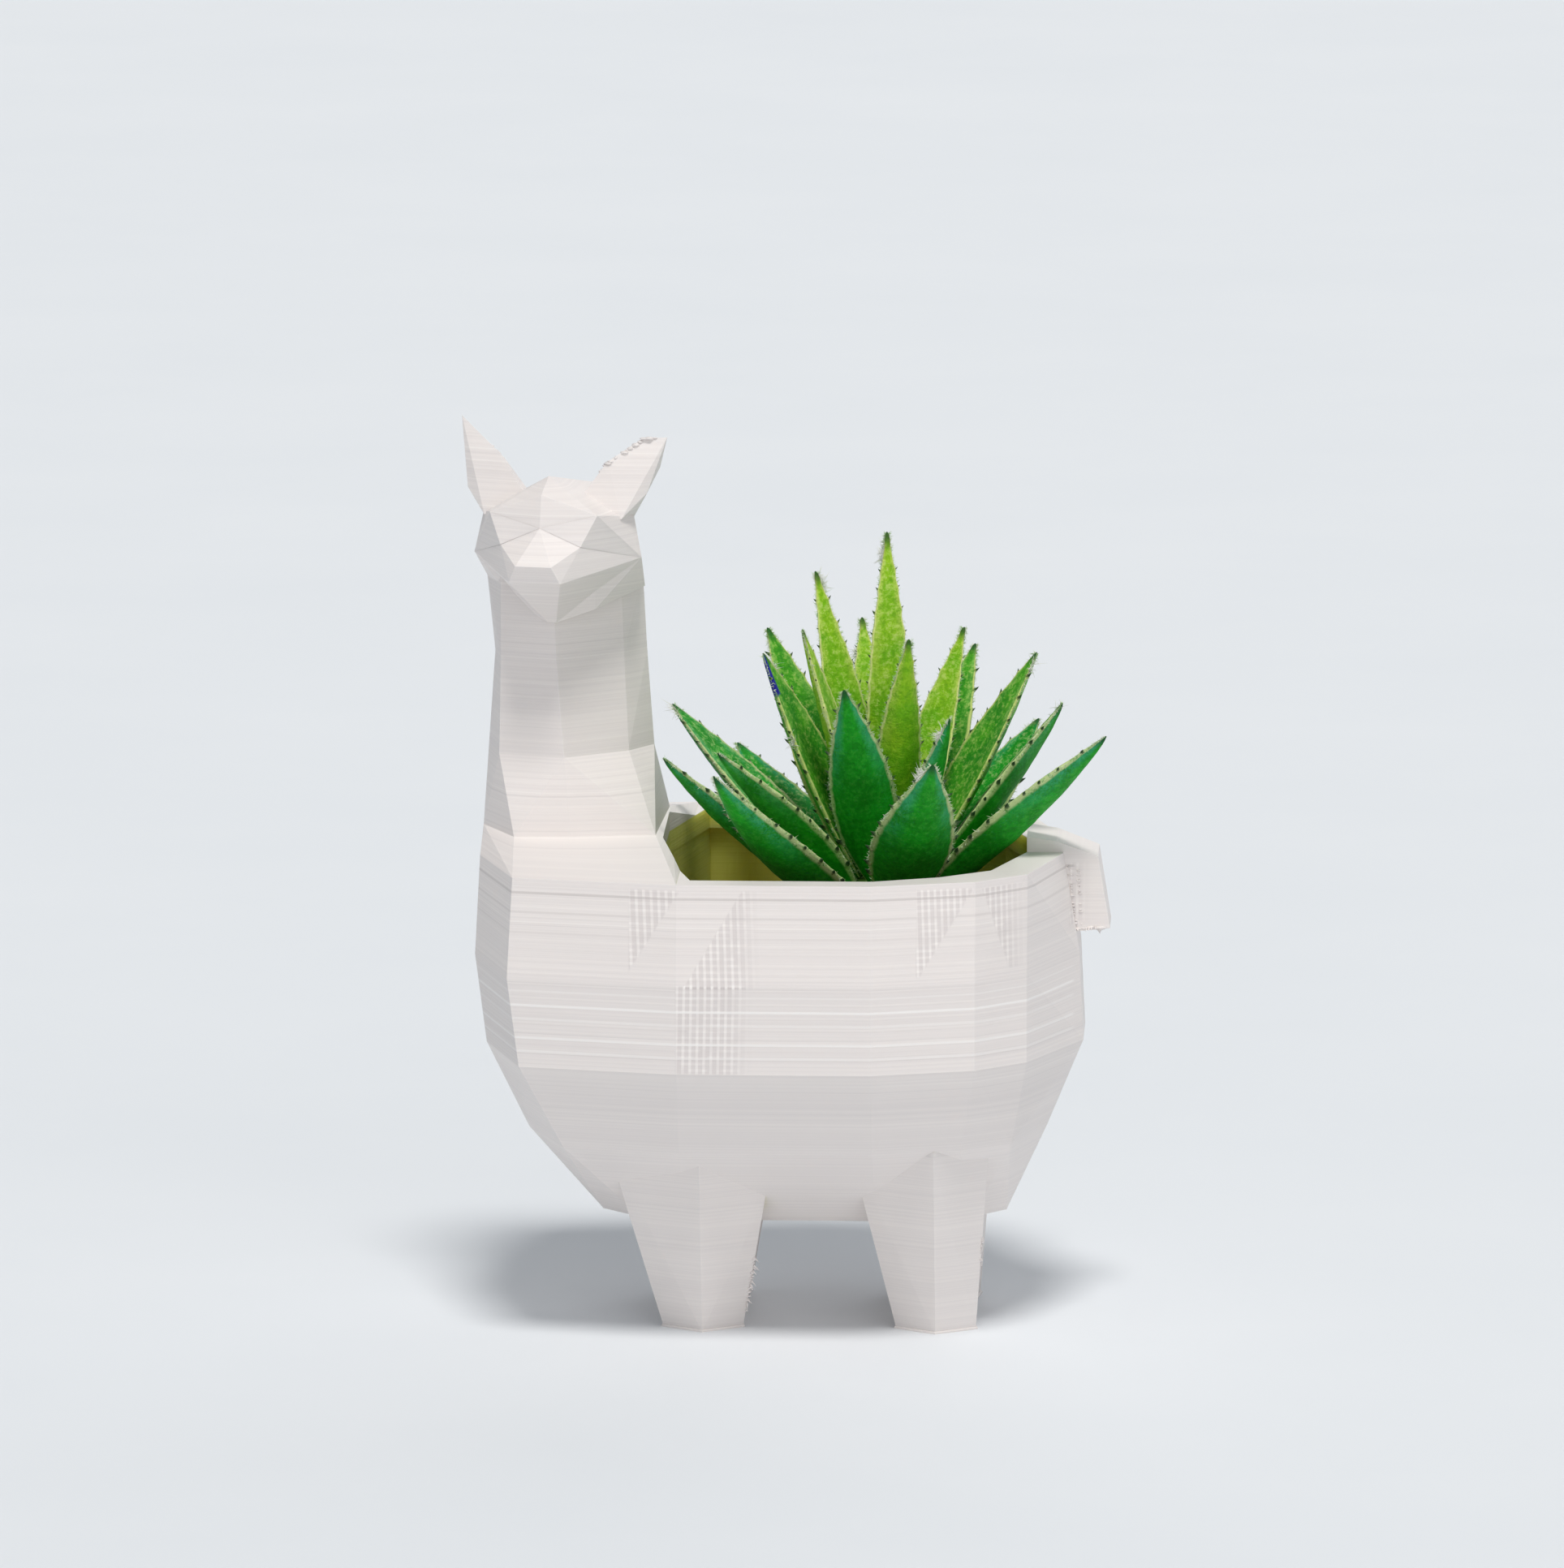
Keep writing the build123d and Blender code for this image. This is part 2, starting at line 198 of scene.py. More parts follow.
# The least and the greatest upward part of a normal at which a face counts as level
NEARLY_LEVEL, LEVEL = 0.85, 0.95


def within(m, value, low, high, edge):
    """1 between the two limits, given in millimetres, with soft edges outside them."""
    rises = m.smooth(value, (low - edge) * MM, low * MM)
    falls = m.smooth(value, high * MM, (high + edge) * MM, 1, 0)
    return m.times(rises, falls)


def infill_mask(m, x, z):
    """Where the wall shows the infill."""
    shows = 0.0
    for z0, z1, (left, left_slope), (right, right_slope) in INFILL_PATCHES:
        rise = m.minus(z, z0 * MM)
        from_left = m.minus(m.minus(x, left * MM), m.times(rise, left_slope))
        from_right = m.minus(m.plus(right * MM, m.times(rise, right_slope)), x)
        right_fade = SLANTED_FADE if right_slope else UPRIGHT_FADE
        patch = m.times(
            m.smooth(from_left, 0, PATCH_FADE * MM),
            m.smooth(from_right, 0, right_fade * MM),
            within(m, z, z0, z1, PATCH_FADE),
        )
        shows = m.plus(shows, patch)
    return shows


def infill_grid(m, x, y, z):
    """The infill's lines: upright stripes and broken rungs."""
    turns = 2 * math.pi / (INFILL_CELL * MM)
    stripes = m.smooth(m.math("SINE", m.times(m.plus(x, m.times(y, STRIPE_SLANT)), turns)), -0.1, 0.8)
    rungs = m.smooth(m.math("SINE", m.times(z, RUNGS_PER_CELL * turns)), -0.1, 0.8)
    broken = m.smooth(m.noise(420, 2.0), 0.34, 0.56)
    return m.plus(m.times(stripes, m.smooth(broken, 0, 1, 0.45, 0.62)), m.times(rungs, broken, 0.34))


def marked_layers(m, x, z):
    """Where the lighter and where the darker ones of the marked layers are."""
    on_body = within(m, x, MARKED_FROM_X, MARKED_TO_X, MARKED_END)
    light, dark = 0.0, 0.0
    for height, weight in MARKED_LAYERS:
        away = m.math("ABSOLUTE", m.minus(z, height * MM))
        near = m.smooth(away, MARK_HALF_WIDTH * MM, MARK_OUTER * MM, abs(weight), 0)
        if weight > 0:
            light = m.plus(light, near)
        else:
            dark = m.plus(dark, near)
    return m.times(light, on_body), m.times(dark, on_body)


def hollow_mask(m, x, y, z):
    """1 on the walls of the hollow: faces that look towards its middle."""
    normal = m.split(m.add("ShaderNodeNewGeometry").outputs["True Normal"])
    inward = 0.0
    for axis, part, middle in zip((x, y, z), normal, HOLLOW_CENTRE):
        inward = m.plus(inward, m.times(m.minus(middle * MM, axis), part))
    mask = m.smooth(inward, 0.0, 0.5 * MM)
    for axis, low, high in zip((x, y, z), HOLLOW_LOW, HOLLOW_HIGH):
        mask = m.times(mask, within(m, axis, low, high, HOLLOW_EDGE))
    # The floor is the only level face of the hollow, so level faces above it are left out
    above_floor = m.smooth(z, HOLLOW_FLOOR_Z * MM, (HOLLOW_FLOOR_Z + 1) * MM)
    level = m.times(m.smooth(normal[2], NEARLY_LEVEL, LEVEL), above_floor)
    return m.times(mask, m.minus(1.0, level))


def printed_plastic():
    """White printed plastic: layer lines, marked layers, infill that shows, and painted reflection in the hollow:
    an olive tint that stands for the green light the leaves throw onto its walls.
    """
    m = Material("printed_white_plastic")
    x, y, z = m.split(m.place)

    # Layers run level round the whole print, so the noise hardly changes along X and Y
    fine = m.noise(1.0, 1.0, 0.5, m.stretched(8, 8, 0.9 / (LAYER * MM)))
    groups = m.noise(1.0, 2.0, 0.6, m.stretched(2, 2, 2400))
    bands = m.noise(1.0, 1.0, 0.5, m.stretched(0.3, 0.3, 260))
    blotches = m.noise(150, 4.0, 0.6)
    ridges = m.math("SINE", m.times(z, 2 * math.pi / (2 * LAYER * MM)))
    lined = m.smooth(z, LINED_FROM * MM, LINED_FULL * MM, LINED_LEAST, 1.0)
    bright_layers = m.times(m.smooth(groups, 0.60, 0.68), lined)
    dark_layers = m.times(m.smooth(groups, 0.40, 0.33), lined)
    marked_light, marked_dark = marked_layers(m, x, z)
    shows = infill_mask(m, x, z)
    infill = m.times(infill_grid(m, x, y, z), shows)
    hollow = hollow_mask(m, x, y, z)

    tone = m.plus(m.times(fine, 0.35), m.times(groups, 0.35), m.times(bands, 0.45))
    colour = m.mix(m.smooth(tone, 0.42, 0.74), srgb(231, 224, 221), srgb(239, 232, 228))
    colour = m.mix(m.times(bright_layers, 0.35), colour, srgb(250, 245, 241))
    colour = m.mix(m.times(dark_layers, 0.22), colour, srgb(206, 198, 196))
    colour = m.mix(m.times(m.smooth(blotches, 0.62, 0.8), 0.2), colour, srgb(246, 230, 222))
    colour = m.mix(m.times(shows, 0.42), colour, srgb(206, 197, 195))
    colour = m.mix(m.times(infill, 0.85), colour, srgb(252, 246, 242))
    colour = m.mix(m.times(marked_light, 0.8), colour, srgb(252, 248, 245))
    colour = m.mix(m.times(marked_dark, 0.5), colour, srgb(176, 167, 165))
    # Painted reflection: the hollow's walls are tinted olive for green light bounced from the leaves, not for a
    # colour of the plastic
    painted_green_reflection = m.mix(fine, srgb(196, 196, 92), srgb(212, 212, 112))
    colour = m.mix(hollow, colour, painted_green_reflection)

    height = m.plus(m.times(fine, 0.8), m.times(groups, 0.8), m.times(ridges, 0.05))
    height = m.plus(height, m.times(infill, 0.5), m.times(marked_light, 0.5), m.times(marked_dark, -0.7))
    m.bump(m.times(height, lined), 0.25, 0.09 * MM)
    m.set(Base_Color=colour, Roughness=m.smooth(groups, 0.3, 0.7, 0.42, 0.54))
    # Daylight comes through the wall into the hollow
    m.set(Subsurface_Weight=m.smooth(hollow, 0, 1, 0.12, 0.9), Subsurface_Radius=(1.0, 0.9, 0.8))
    m.set(Subsurface_Scale=m.smooth(hollow, 0, 1, 1.2 * MM, 4.0 * MM))
    return m.material


# Other plastics and the foam

# Looks of each tier of leaves: deep green, light green, haze, cream, and the shares of haze and of cream
LEAF_LOOKS = {
    "outer": (srgb(0, 138, 8), srgb(8, 168, 22), srgb(60, 168, 126), srgb(198, 212, 150), 0.75, 0.5),
    "middle": (srgb(4, 140, 8), srgb(26, 170, 22), srgb(84, 172, 112), srgb(202, 214, 150), 0.7, 0.5),
    "inner": (srgb(32, 144, 6), srgb(84, 178, 20), srgb(136, 194, 92), srgb(208, 220, 132), 0.7, 0.42),
    "heart": (srgb(112, 186, 4), srgb(158, 206, 24), srgb(196, 218, 96), srgb(224, 232, 150), 0.75, 0.4),
}
SHADE_OF_DEEP = 0.35


def leaf_plastic(tier, deep, light, haze, cream, haze_share, cream_share):
    """Flocked leaf plastic: green face, hazy margins, cream edge line, blotched upper face and a dark tip."""
    m = Material(f"{tier}_leaf_plastic")
    along = m.attribute("along")
    edge = m.math("ABSOLUTE", m.attribute("across"))
    upper = m.attribute("upper")
    broad = m.noise(240, 3.0, 0.55)
    mottle = m.noise(1500, 6.0, 0.75)
    fine = m.noise(4200, 3.0, 0.65)
    hairs = m.noise(1.0, 3.0, 0.7, m.stretched(1700, 1700, 5200))

    green = m.plus(m.times(broad, 0.6), m.times(mottle, 0.4))
    colour = m.mix(m.smooth(green, 0.36, 0.64), deep, light)
    # Haze of short fibres towards the tip and the margins
    cloudy = m.smooth(m.plus(broad, fine), 0.78, 1.12)
    hazy = m.times(m.smooth(along, 0.42, 0.8), m.smooth(edge, 0.36, 0.85), cloudy)
    colour = m.mix(m.times(hazy, haze_share), colour, haze)
    outer_part = m.smooth(edge, 0.1, 0.8, 0.12, 0.5)
    hairy = m.times(m.smooth(hairs, 0.56, 0.70), m.smooth(along, 0.1, 0.6), outer_part)
    colour = m.mix(hairy, colour, haze)
    # Dark specks
    shade = tuple(SHADE_OF_DEEP * part for part in deep)
    specks = m.plus(m.times(mottle, 0.7), m.times(fine, 0.3))
    colour = m.mix(m.smooth(specks, 0.56, 0.38, 0.0, 0.3), colour, shade)
    # Cream blotches, mostly on the face that looks up
    blotch = m.times(m.smooth(mottle, 0.48, 0.66), m.smooth(upper, 0.3, 0.7, 0.12, 1.0))
    colour = m.mix(m.times(blotch, cream_share), colour, cream)
    # Edge line, broken in places
    line = m.times(m.smooth(edge, 0.86, 0.95), m.smooth(m.plus(mottle, m.times(fine, 0.5)), 0.5, 0.74))
    colour = m.mix(m.times(line, 0.9), colour, cream)
    tip = m.times(m.smooth(along, 0.90, 0.965), m.smooth(mottle, 0.30, 0.45))
    colour = m.mix(m.times(tip, 0.9), colour, srgb(12, 66, 30))
    colour = m.mix(m.attribute("thorn"), colour, srgb(16, 62, 30))
    colour = m.mix(m.attribute("stain"), colour, srgb(24, 24, 150))
    m.bump(m.plus(mottle, m.times(fine, 0.7), m.times(hairs, 0.5)), 0.7, 0.13 * MM)
    m.set(Base_Color=colour, Roughness=m.smooth(fine, 0.3, 0.7, 0.52, 0.76), Specular_IOR_Level=0.3)
    m.set(Subsurface_Weight=0.06, Subsurface_Radius=(0.4, 1.0, 0.2), Subsurface_Scale=0.7 * MM)
    return m.material


def fuzz_plastic(name, dull, bright):
    """Loose fibres on the leaves' margins."""
    m = Material(name)
    m.set(Base_Color=m.mix(m.smooth(m.noise(900, 2.0), 0.38, 0.62), dull, bright), Roughness=0.9)
    return m.material


def foam_block():
    """Dry foam with fine open cells."""
    m = Material("dry_foam")
    cells = m.noise(2600, 5.0, 0.75)
    crumbs = m.noise(420, 4.0, 0.6)
    colour = m.mix(m.smooth(cells, 0.3, 0.7), srgb(86, 70, 48), srgb(150, 128, 92))
    colour = m.mix(m.smooth(crumbs, 0.55, 0.75), colour, srgb(66, 52, 34))
    m.bump(m.plus(cells, crumbs), 0.8, 0.3 * MM)
    m.set(Base_Color=colour, Roughness=0.95)
    return m.material


def stem_plastic():
    """Moulded green plastic of the stem and the leaf core."""
    m = Material("moulded_stem_plastic")
    mottle = m.noise(600, 4.0)
    m.set(Base_Color=m.mix(m.smooth(mottle, 0.3, 0.7), srgb(46, 96, 26), srgb(92, 136, 46)))
    m.bump(mottle, 0.4, 0.15 * MM)
    m.set(Roughness=m.smooth(mottle, 0.3, 0.7, 0.5, 0.7))
    return m.material


# Ways to make pieces

SPIKE_TAPER = 0.8


def paint(piece, *materials):
    """Gives a piece its materials. Clearing resets which face has which, so an empty list isn't cleared."""
    if piece.data.materials:
        piece.data.materials.clear()
    for material in materials:
        piece.data.materials.append(material)


def add_object(name, data):
    """A new object in the scene."""
    added = bpy.data.objects.new(name, data)
    bpy.context.scene.collection.objects.link(added)
    return added


def add_mesh(name, builder):
    """A new object in the scene from a bmesh, which is used up."""
    mesh = bpy.data.meshes.new(name)
    builder.to_mesh(mesh)
    builder.free()
    return add_object(name, mesh)


def new_piece(name, builder, body, slot, *materials):
    """A piece from a bmesh, riding on a body."""
    bmesh.ops.recalc_face_normals(builder, faces=builder.faces)
    piece = add_mesh(name, builder)
    paint(piece, *materials)
    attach(piece, body)
    return piece


def smooth_faces(builder):
    """Shades all faces of a bmesh smoothly."""
    for face in builder.faces:
        face.smooth = True


def bridge(builder, lower, upper):
    """A band of faces between two rings of vertices; returns the faces."""
    faces = []
    for index in range(len(lower)):
        after = (index + 1) % len(lower)
        faces.append(builder.faces.new((lower[index], lower[after], upper[after], upper[index])))
    return faces


def close_tip(builder, ring, tip):
    """Faces from a ring of vertices to a point; returns the faces."""
    count = len(ring)
    return [builder.faces.new((ring[index], ring[(index + 1) % count], tip)) for index in range(count)]


def spike(builder, base, direction, lean, length, radius, sides, steps):
    """A small pointed form that bends over towards lean; returns its vertices and faces."""
    direction = direction.normalized()
    around = direction.orthogonal().normalized()
    other = direction.cross(around)
    made, rings = [], []
    for step in range(steps):
        share = step / steps
        centre = base + direction * (length * share) + lean * (length * share * share * 0.5)
        spread = radius * (1 - share) ** SPIKE_TAPER
        ring = []
        for index in range(sides):
            angle = 2 * math.pi * index / sides
            outward = around * math.cos(angle) + other * math.sin(angle)
            ring.append(builder.verts.new(centre + outward * spread))
        rings.append(ring)
        made += ring
    top = builder.verts.new(base + direction * length + lean * (length * 0.5))
    made.append(top)
    faces = []
    for lower, upper in zip(rings, rings[1:]):
        faces += bridge(builder, lower, upper)
    faces += close_tip(builder, rings[-1], top)
    faces.append(builder.faces.new(reversed(rings[0])))
    return made, faces


# Leaves: a station is the share of the way along a blade, and a share is that of the way to a margin

core_low, core_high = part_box("leaf_core")
core_radius = (core_high.x - core_low.x) / 2
core_centre = Vector(
    ((core_low.x + core_high.x) / 2, (core_low.y + core_high.y) / 2, core_high.z - core_radius)
)

# Width and thickness of each tier in millimetres, and the laws of the blade, as in the construction
TIERS = {
    "outer": (9.2, 2.6),
    "middle": (8.4, 2.4),
    "inner": (7.2, 2.2),
    "heart": (5.2, 2.0),
}
WIDTH_AT_ROOT, WIDTH_GAIN, WIDTH_TAPER = 0.31, 4.27, 1.3
THICKNESS_AT_ROOT, THICKNESS_GAIN, THICKNESS_TAPER = 0.5, 1.6, 0.75
CHANNEL, CROWN = 0.32, 0.75
CAD_END_STATION = 0.97
# The stretch in which a CAD blade's direction across is found, and the one in which its rise is
MIDDLE_FROM, MIDDLE_TO, TIP_STRETCH = 0.2, 0.6, 0.02
PEG_END_ROOM = 0.1 * MM

RINGS, RING_POINTS = 96, 28
FIRST_RING, RING_SPAN = 0.002, 0.967
BLUNT_FROM, BLUNT_HALF_WIDTH = 0.93, 0.36 * MM
# The raised line along a margin: height, share at its middle, half its width, and how soon it ends at the tip
BEAD, BEAD_SHARE, BEAD_HALF_WIDTH, BEAD_END = 0.11 * MM, 0.955, 0.05, 12
# Waves of the margin at the teeth, and unevenness of the faces: size and noise scale
SCALLOP, SCALLOP_REACH, SCALLOP_POWER = 0.16 * MM, 0.9 * MM, 1.5
FINE_BUMP, FINE_BUMP_SCALE = 0.05, 900
BROAD_BUMP, BROAD_BUMP_SCALE = 0.10, 260
WOBBLE_RANGE = 50
PEG_RADIUS, PEG_LENGTH, PEG_LAP, PEG_SIDES = 0.55 * MM, 2.0 * MM, 0.2 * MM, 16

TOOTHED_FROM, TOOTHED_TO, TOOTH_PITCH = 0.14, 0.9, 2.5 * MM
TOOTH_LENGTH = {"outer": 1.0, "middle": 0.95, "inner": 0.85, "heart": 0.6}
TOOTH_SIDES, TOOTH_STEPS, TOOTH_GIRTH, TOOTH_LEAN = 8, 5, 0.36, 0.8
TOOTH_SHARE, TOOTH_FLARE = 0.94, 0.1 * MM
# How dark a tooth is, ring by ring from its foot to its point
TOOTH_DARKNESS = (0.0, 0.35, 0.85, 0.95, 0.95, 0.95)


class Fuzz(NamedTuple):
    """A kind of loose fibre: sizes in millimetres, how far it curls, and which of a leaf's materials it has."""

    shortest: float
    longest: float
    radius: float
    curl: float
    material_index: int

    def length(self, chance):
        return chance.uniform(self.shortest, self.longest) * MM


FLOCK_FIBRE = Fuzz(0.16, 0.6, 0.05, 1.0, 1)
TUFT_FIBRE = Fuzz(0.4, 1.15, 0.07, 1.8, 2)
FIBRES, FIBRE_SIDES, FIBRE_STEPS = 640, 3, 3
LAST_FIBRE_STATION = 0.965
# Tufts of loose fibres that show on single leaves: node, station, margin, number of fibres
TUFTS = (
    ("heart_leaf_3", 0.91, -1, 70),
    ("heart_leaf_4", 0.93, 1, 60),
    ("heart_leaf_2", 0.82, -1, 34),
    ("outer_leaf_5", 0.9, -1, 66),
    ("inner_leaf_6", 0.88, -1, 54),
    ("inner_leaf_1", 0.9, 1, 44),
    ("inner_leaf_4", 0.62, -1, 40),
    ("inner_leaf_4", 0.9, 1, 24),
    ("middle_leaf_2", 0.94, -1, 24),
    ("middle_leaf_4", 0.94, 1, 28),
)
TUFT_SPREAD = 0.016
# The stained margin: node, stations, and the share from which it is stained
STAIN_NODE, STAIN_FROM, STAIN_TO, STAIN_SHARE = "inner_leaf_4", 0.80, 0.96, 0.55
# The two inner leaves in front are as dark as the outer ones
DARK_INNER_LEAVES = ("inner_leaf_5", "inner_leaf_6")


class LeafShape:
    """Place and form of one CAD leaf, read from its node."""

    def __init__(self, node, tier):
        self.width, self.thickness = (size * MM for size in TIERS[tier])
        points = np.array([v.co for v in node.data.vertices])
        offsets = points - np.array(core_centre)
        reach = np.linalg.norm(offsets, axis=1)
        peg_end = np.unique(offsets[reach < reach.min() + PEG_END_ROOM].round(6), axis=0)
        along = peg_end.mean(axis=0)
        along /= np.linalg.norm(along)
        run = offsets @ along - core_radius
        self.length = run.max() / CAD_END_STATION
        # The blade's width is the longest direction of its middle stretch, and its margins curl upwards
        middle = (run > MIDDLE_FROM * self.length) & (run < MIDDLE_TO * self.length)
        flat = offsets[middle] - np.outer(offsets[middle] @ along, along)
        across = np.linalg.svd(flat - flat.mean(axis=0), full_matrices=False)[2][0]
        up = np.cross(along, across)
        terms = np.stack([np.ones(middle.sum()), run[middle] ** 2, (flat @ across) ** 2], axis=1)
        curl = np.linalg.lstsq(terms, flat @ up, rcond=None)[0][2]
        if curl < 0:
            across, up = -across, -up
        near_tip = run > (CAD_END_STATION - TIP_STRETCH) * self.length
        self.rise = (offsets[near_tip] @ up).mean() / CAD_END_STATION**2
        self.along, self.across, self.up = Vector(along), Vector(across), Vector(up)
        self.root = core_centre + self.along * core_radius

    def rounding(self, station):
        """1 along the blade, falling to 0 at its blunt end."""
        return math.sqrt(max(1 - (max(station - BLUNT_FROM, 0) / (CAD_END_STATION - BLUNT_FROM)) ** 2, 0))

    def half_width(self, station):
        law = self.width / 2 * (1 - station) ** WIDTH_TAPER * (WIDTH_AT_ROOT + WIDTH_GAIN * station)
        return max(law, BLUNT_HALF_WIDTH) * self.rounding(station)

    def half_thickness(self, station):
        law = self.thickness / 2 * (THICKNESS_AT_ROOT + THICKNESS_GAIN * station)
        return law * (1 - station) ** THICKNESS_TAPER * self.rounding(station)

    def point(self, station, share, side, flare=0.0):
        """A point of the blade: side is 1 on the upper face, -1 on the lower one and 0 between them."""
        half = self.half_width(station) + flare
        crown = max(1 - share * share, 0) ** CROWN
        bead = BEAD * max(1 - ((abs(share) - BEAD_SHARE) / BEAD_HALF_WIDTH) ** 2, 0)
        bead *= min(1, BEAD_END * (1 - station))
        height = self.rise * station**2 + CHANNEL * half * share * share
        height += side * (self.half_thickness(station) * crown + bead)
        on_axis = self.root + self.along * (station * self.length)
        return on_axis + self.across * (share * half) + self.up * height

    def left_margin(self):
        """Which margin lies further to the left in the front view."""
        return -1 if self.across.x > 0 else 1


def tooth_stations(shape, chance):
    """Places of the teeth on the two margins."""
    count = int((TOOTHED_TO - TOOTHED_FROM) * shape.length / TOOTH_PITCH)
    pitch = (TOOTHED_TO - TOOTHED_FROM) / count
    return {
        side: [TOOTHED_FROM + (index + 0.3 + 0.4 * chance.random()) * pitch for index in range(count)]
        for side in (-1, 1)
    }


def scallops(shape, station, teeth):
    """How far each margin stands out at a station, because of the nearest tooth."""
    flares = {}
    for side in (-1, 1):
        nearest = min(abs(station - tooth) * shape.length for tooth in teeth[side])
        flares[side] = SCALLOP * max(1 - nearest / SCALLOP_REACH, 0) ** SCALLOP_POWER
    return flares


def add_blade(builder, shape, layers, teeth, wobble):
    """The blade as rings from its root to a blunt tip, with a scalloped margin and slightly uneven faces."""
    half_points = RING_POINTS // 2
    rings = []
    for index in range(RINGS):
        station = FIRST_RING + RING_SPAN * index / (RINGS - 1)
        flares = scallops(shape, station, teeth)
        ring = []
        for step in range(RING_POINTS):
            face = 1 if step < half_points else -1
            turn = (step % half_points) / half_points
            share = -math.cos(math.pi * turn) if face > 0 else math.cos(math.pi * turn)
            flare = flares[1 if share > 0 else -1] * abs(share)
            place = shape.point(station, share, face, flare)
            bumps = noise.noise(place * FINE_BUMP_SCALE + wobble) * FINE_BUMP * MM
            bumps += noise.noise(place * BROAD_BUMP_SCALE + wobble) * BROAD_BUMP * MM
            place += (shape.up * face + shape.across * share * 0.6) * bumps * min(1, 4 * (1 - station))
            vertex = builder.verts.new(place)
            vertex[layers["along"]] = station
            vertex[layers["across"]] = share
            vertex[layers["upper"]] = 1.0 if face > 0 else 0.0
            ring.append(vertex)
        rings.append(ring)
    for lower, upper in zip(rings, rings[1:]):
        bridge(builder, lower, upper)
    builder.faces.new(reversed(rings[0]))
    tip = builder.verts.new(shape.point(CAD_END_STATION, 0, 0))
    tip[layers["along"]] = CAD_END_STATION
    close_tip(builder, rings[-1], tip)


def add_peg(builder, shape):
    """The peg under the blade that plugs into the core."""
    rings = []
    for run in (-PEG_LENGTH, PEG_LAP):
        centre = shape.root + shape.along * run
        ring = []
        for index in range(PEG_SIDES):
            turn = 2 * math.pi * index / PEG_SIDES
            outward = shape.across * math.cos(turn) + shape.up * math.sin(turn)
            ring.append(builder.verts.new(centre + outward * PEG_RADIUS))
        rings.append(ring)
    bridge(builder, *rings)
    builder.faces.new(reversed(rings[0]))
    builder.faces.new(rings[1])


def stain_margin(builder, layers, margin):
    """Marks the stained stretch of a margin."""
    for vertex in builder.verts:
        in_stretch = STAIN_FROM < vertex[layers["along"]] < STAIN_TO
        stained = in_stretch and vertex[layers["across"]] * margin > STAIN_SHARE
        vertex[layers["stain"]] = 1.0 if stained else 0.0


def add_teeth(builder, shape, chance, layers, teeth, length):
    """Bent teeth on both margins, pale at the foot and dark at the point."""
    for side in (-1, 1):
        for station in teeth[side]:
            base = shape.point(station, side * TOOTH_SHARE, 0, TOOTH_FLARE)
            outward = shape.across * side + shape.along * chance.uniform(0.3, 0.7) + shape.up * 0.15
            size = length * (1.05 - 0.35 * station) * chance.uniform(0.75, 1.2)
            lean, radius = shape.along * TOOTH_LEAN, TOOTH_GIRTH * size * MM
            made, _ = spike(builder, base, outward, lean, size * MM, radius, TOOTH_SIDES, TOOTH_STEPS)
            for position, vertex in enumerate(made):
                vertex[layers["along"]] = 0.5
                vertex[layers["across"]] = 0.97 * side
                vertex[layers["thorn"]] = TOOTH_DARKNESS[position // TOOTH_SIDES]


def add_fibre(builder, shape, chance, station, side, length, kind):
    """One loose fibre on a margin, left out where it could reach past the part's box."""
    base = shape.point(station, side * (0.88 + 0.12 * chance.random()), 0)
    forward, upward = chance.uniform(-0.6, 1.2), chance.uniform(-0.8, 0.9)
    outward = shape.across * side + shape.along * forward + shape.up * upward
    up_curl, along_curl = chance.uniform(-kind.curl, kind.curl), chance.uniform(-kind.curl, kind.curl)
    if base.x + 1.5 * length > cad_high.x:
        return
    lean = shape.up * up_curl + shape.along * along_curl
    radius = kind.radius * MM
    _, faces = spike(builder, base, outward, lean, length, radius, FIBRE_SIDES, FIBRE_STEPS)
    for face in faces:
        face.material_index = kind.material_index


def add_fuzz(builder, shape, chance, name):
    """Flock fibres all along both margins, and the tufts of this leaf."""
    for _ in range(FIBRES):
        station = LAST_FIBRE_STATION * (1 - chance.random() ** 1.4)
        length = FLOCK_FIBRE.length(chance)
        add_fibre(builder, shape, chance, station, chance.choice((-1, 1)), length, FLOCK_FIBRE)
    for node, middle, side, count in TUFTS:
        if node == name:
            for _ in range(count):
                station = min(middle + chance.gauss(0, TUFT_SPREAD), LAST_FIBRE_STATION)
                length = TUFT_FIBRE.length(chance)
                add_fibre(builder, shape, chance, station, -side * shape.left_margin(), length, TUFT_FIBRE)


def make_leaf(name, tier, *materials):
    """A detailed leaf in the place of its CAD node: blade, peg, bent teeth and loose fibres on the margins."""
    shape = LeafShape(nodes[name], tier)
    chance = random.Random(name)
    wobble = Vector([chance.random() * WOBBLE_RANGE for _ in range(3)])
    builder = bmesh.new()
    layers = {
        key: builder.verts.layers.float.new(key) for key in ("along", "across", "upper", "thorn", "stain")
    }
    teeth = tooth_stations(shape, chance)
    add_blade(builder, shape, layers, teeth, wobble)
    add_peg(builder, shape)
    if name == STAIN_NODE:
        stain_margin(builder, layers, shape.left_margin())
    add_teeth(builder, shape, chance, layers, teeth, TOOTH_LENGTH[tier])
    add_fuzz(builder, shape, chance, name)
    smooth_faces(builder)
    leaf = new_piece(name + "_blade", builder, "plant", tier + "_leaf_plastic", *materials)
    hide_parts(name)


leaf_materials = {tier: leaf_plastic(tier, *looks) for tier, looks in LEAF_LOOKS.items()}
flock = fuzz_plastic("leaf_flock", srgb(168, 204, 140), srgb(232, 240, 216))
tuft = fuzz_plastic("loose_tuft", srgb(226, 230, 214), srgb(246, 246, 238))
for name in sorted(nodes):
    tier = name.split("_")[0]
    if tier in TIERS:
        dark = name in DARK_INNER_LEAVES
        make_leaf(name, tier, leaf_materials["outer" if dark else tier], flock, tuft)


# Pot, stem and core: the CAD solids with their materials, the pot with slightly softened edges

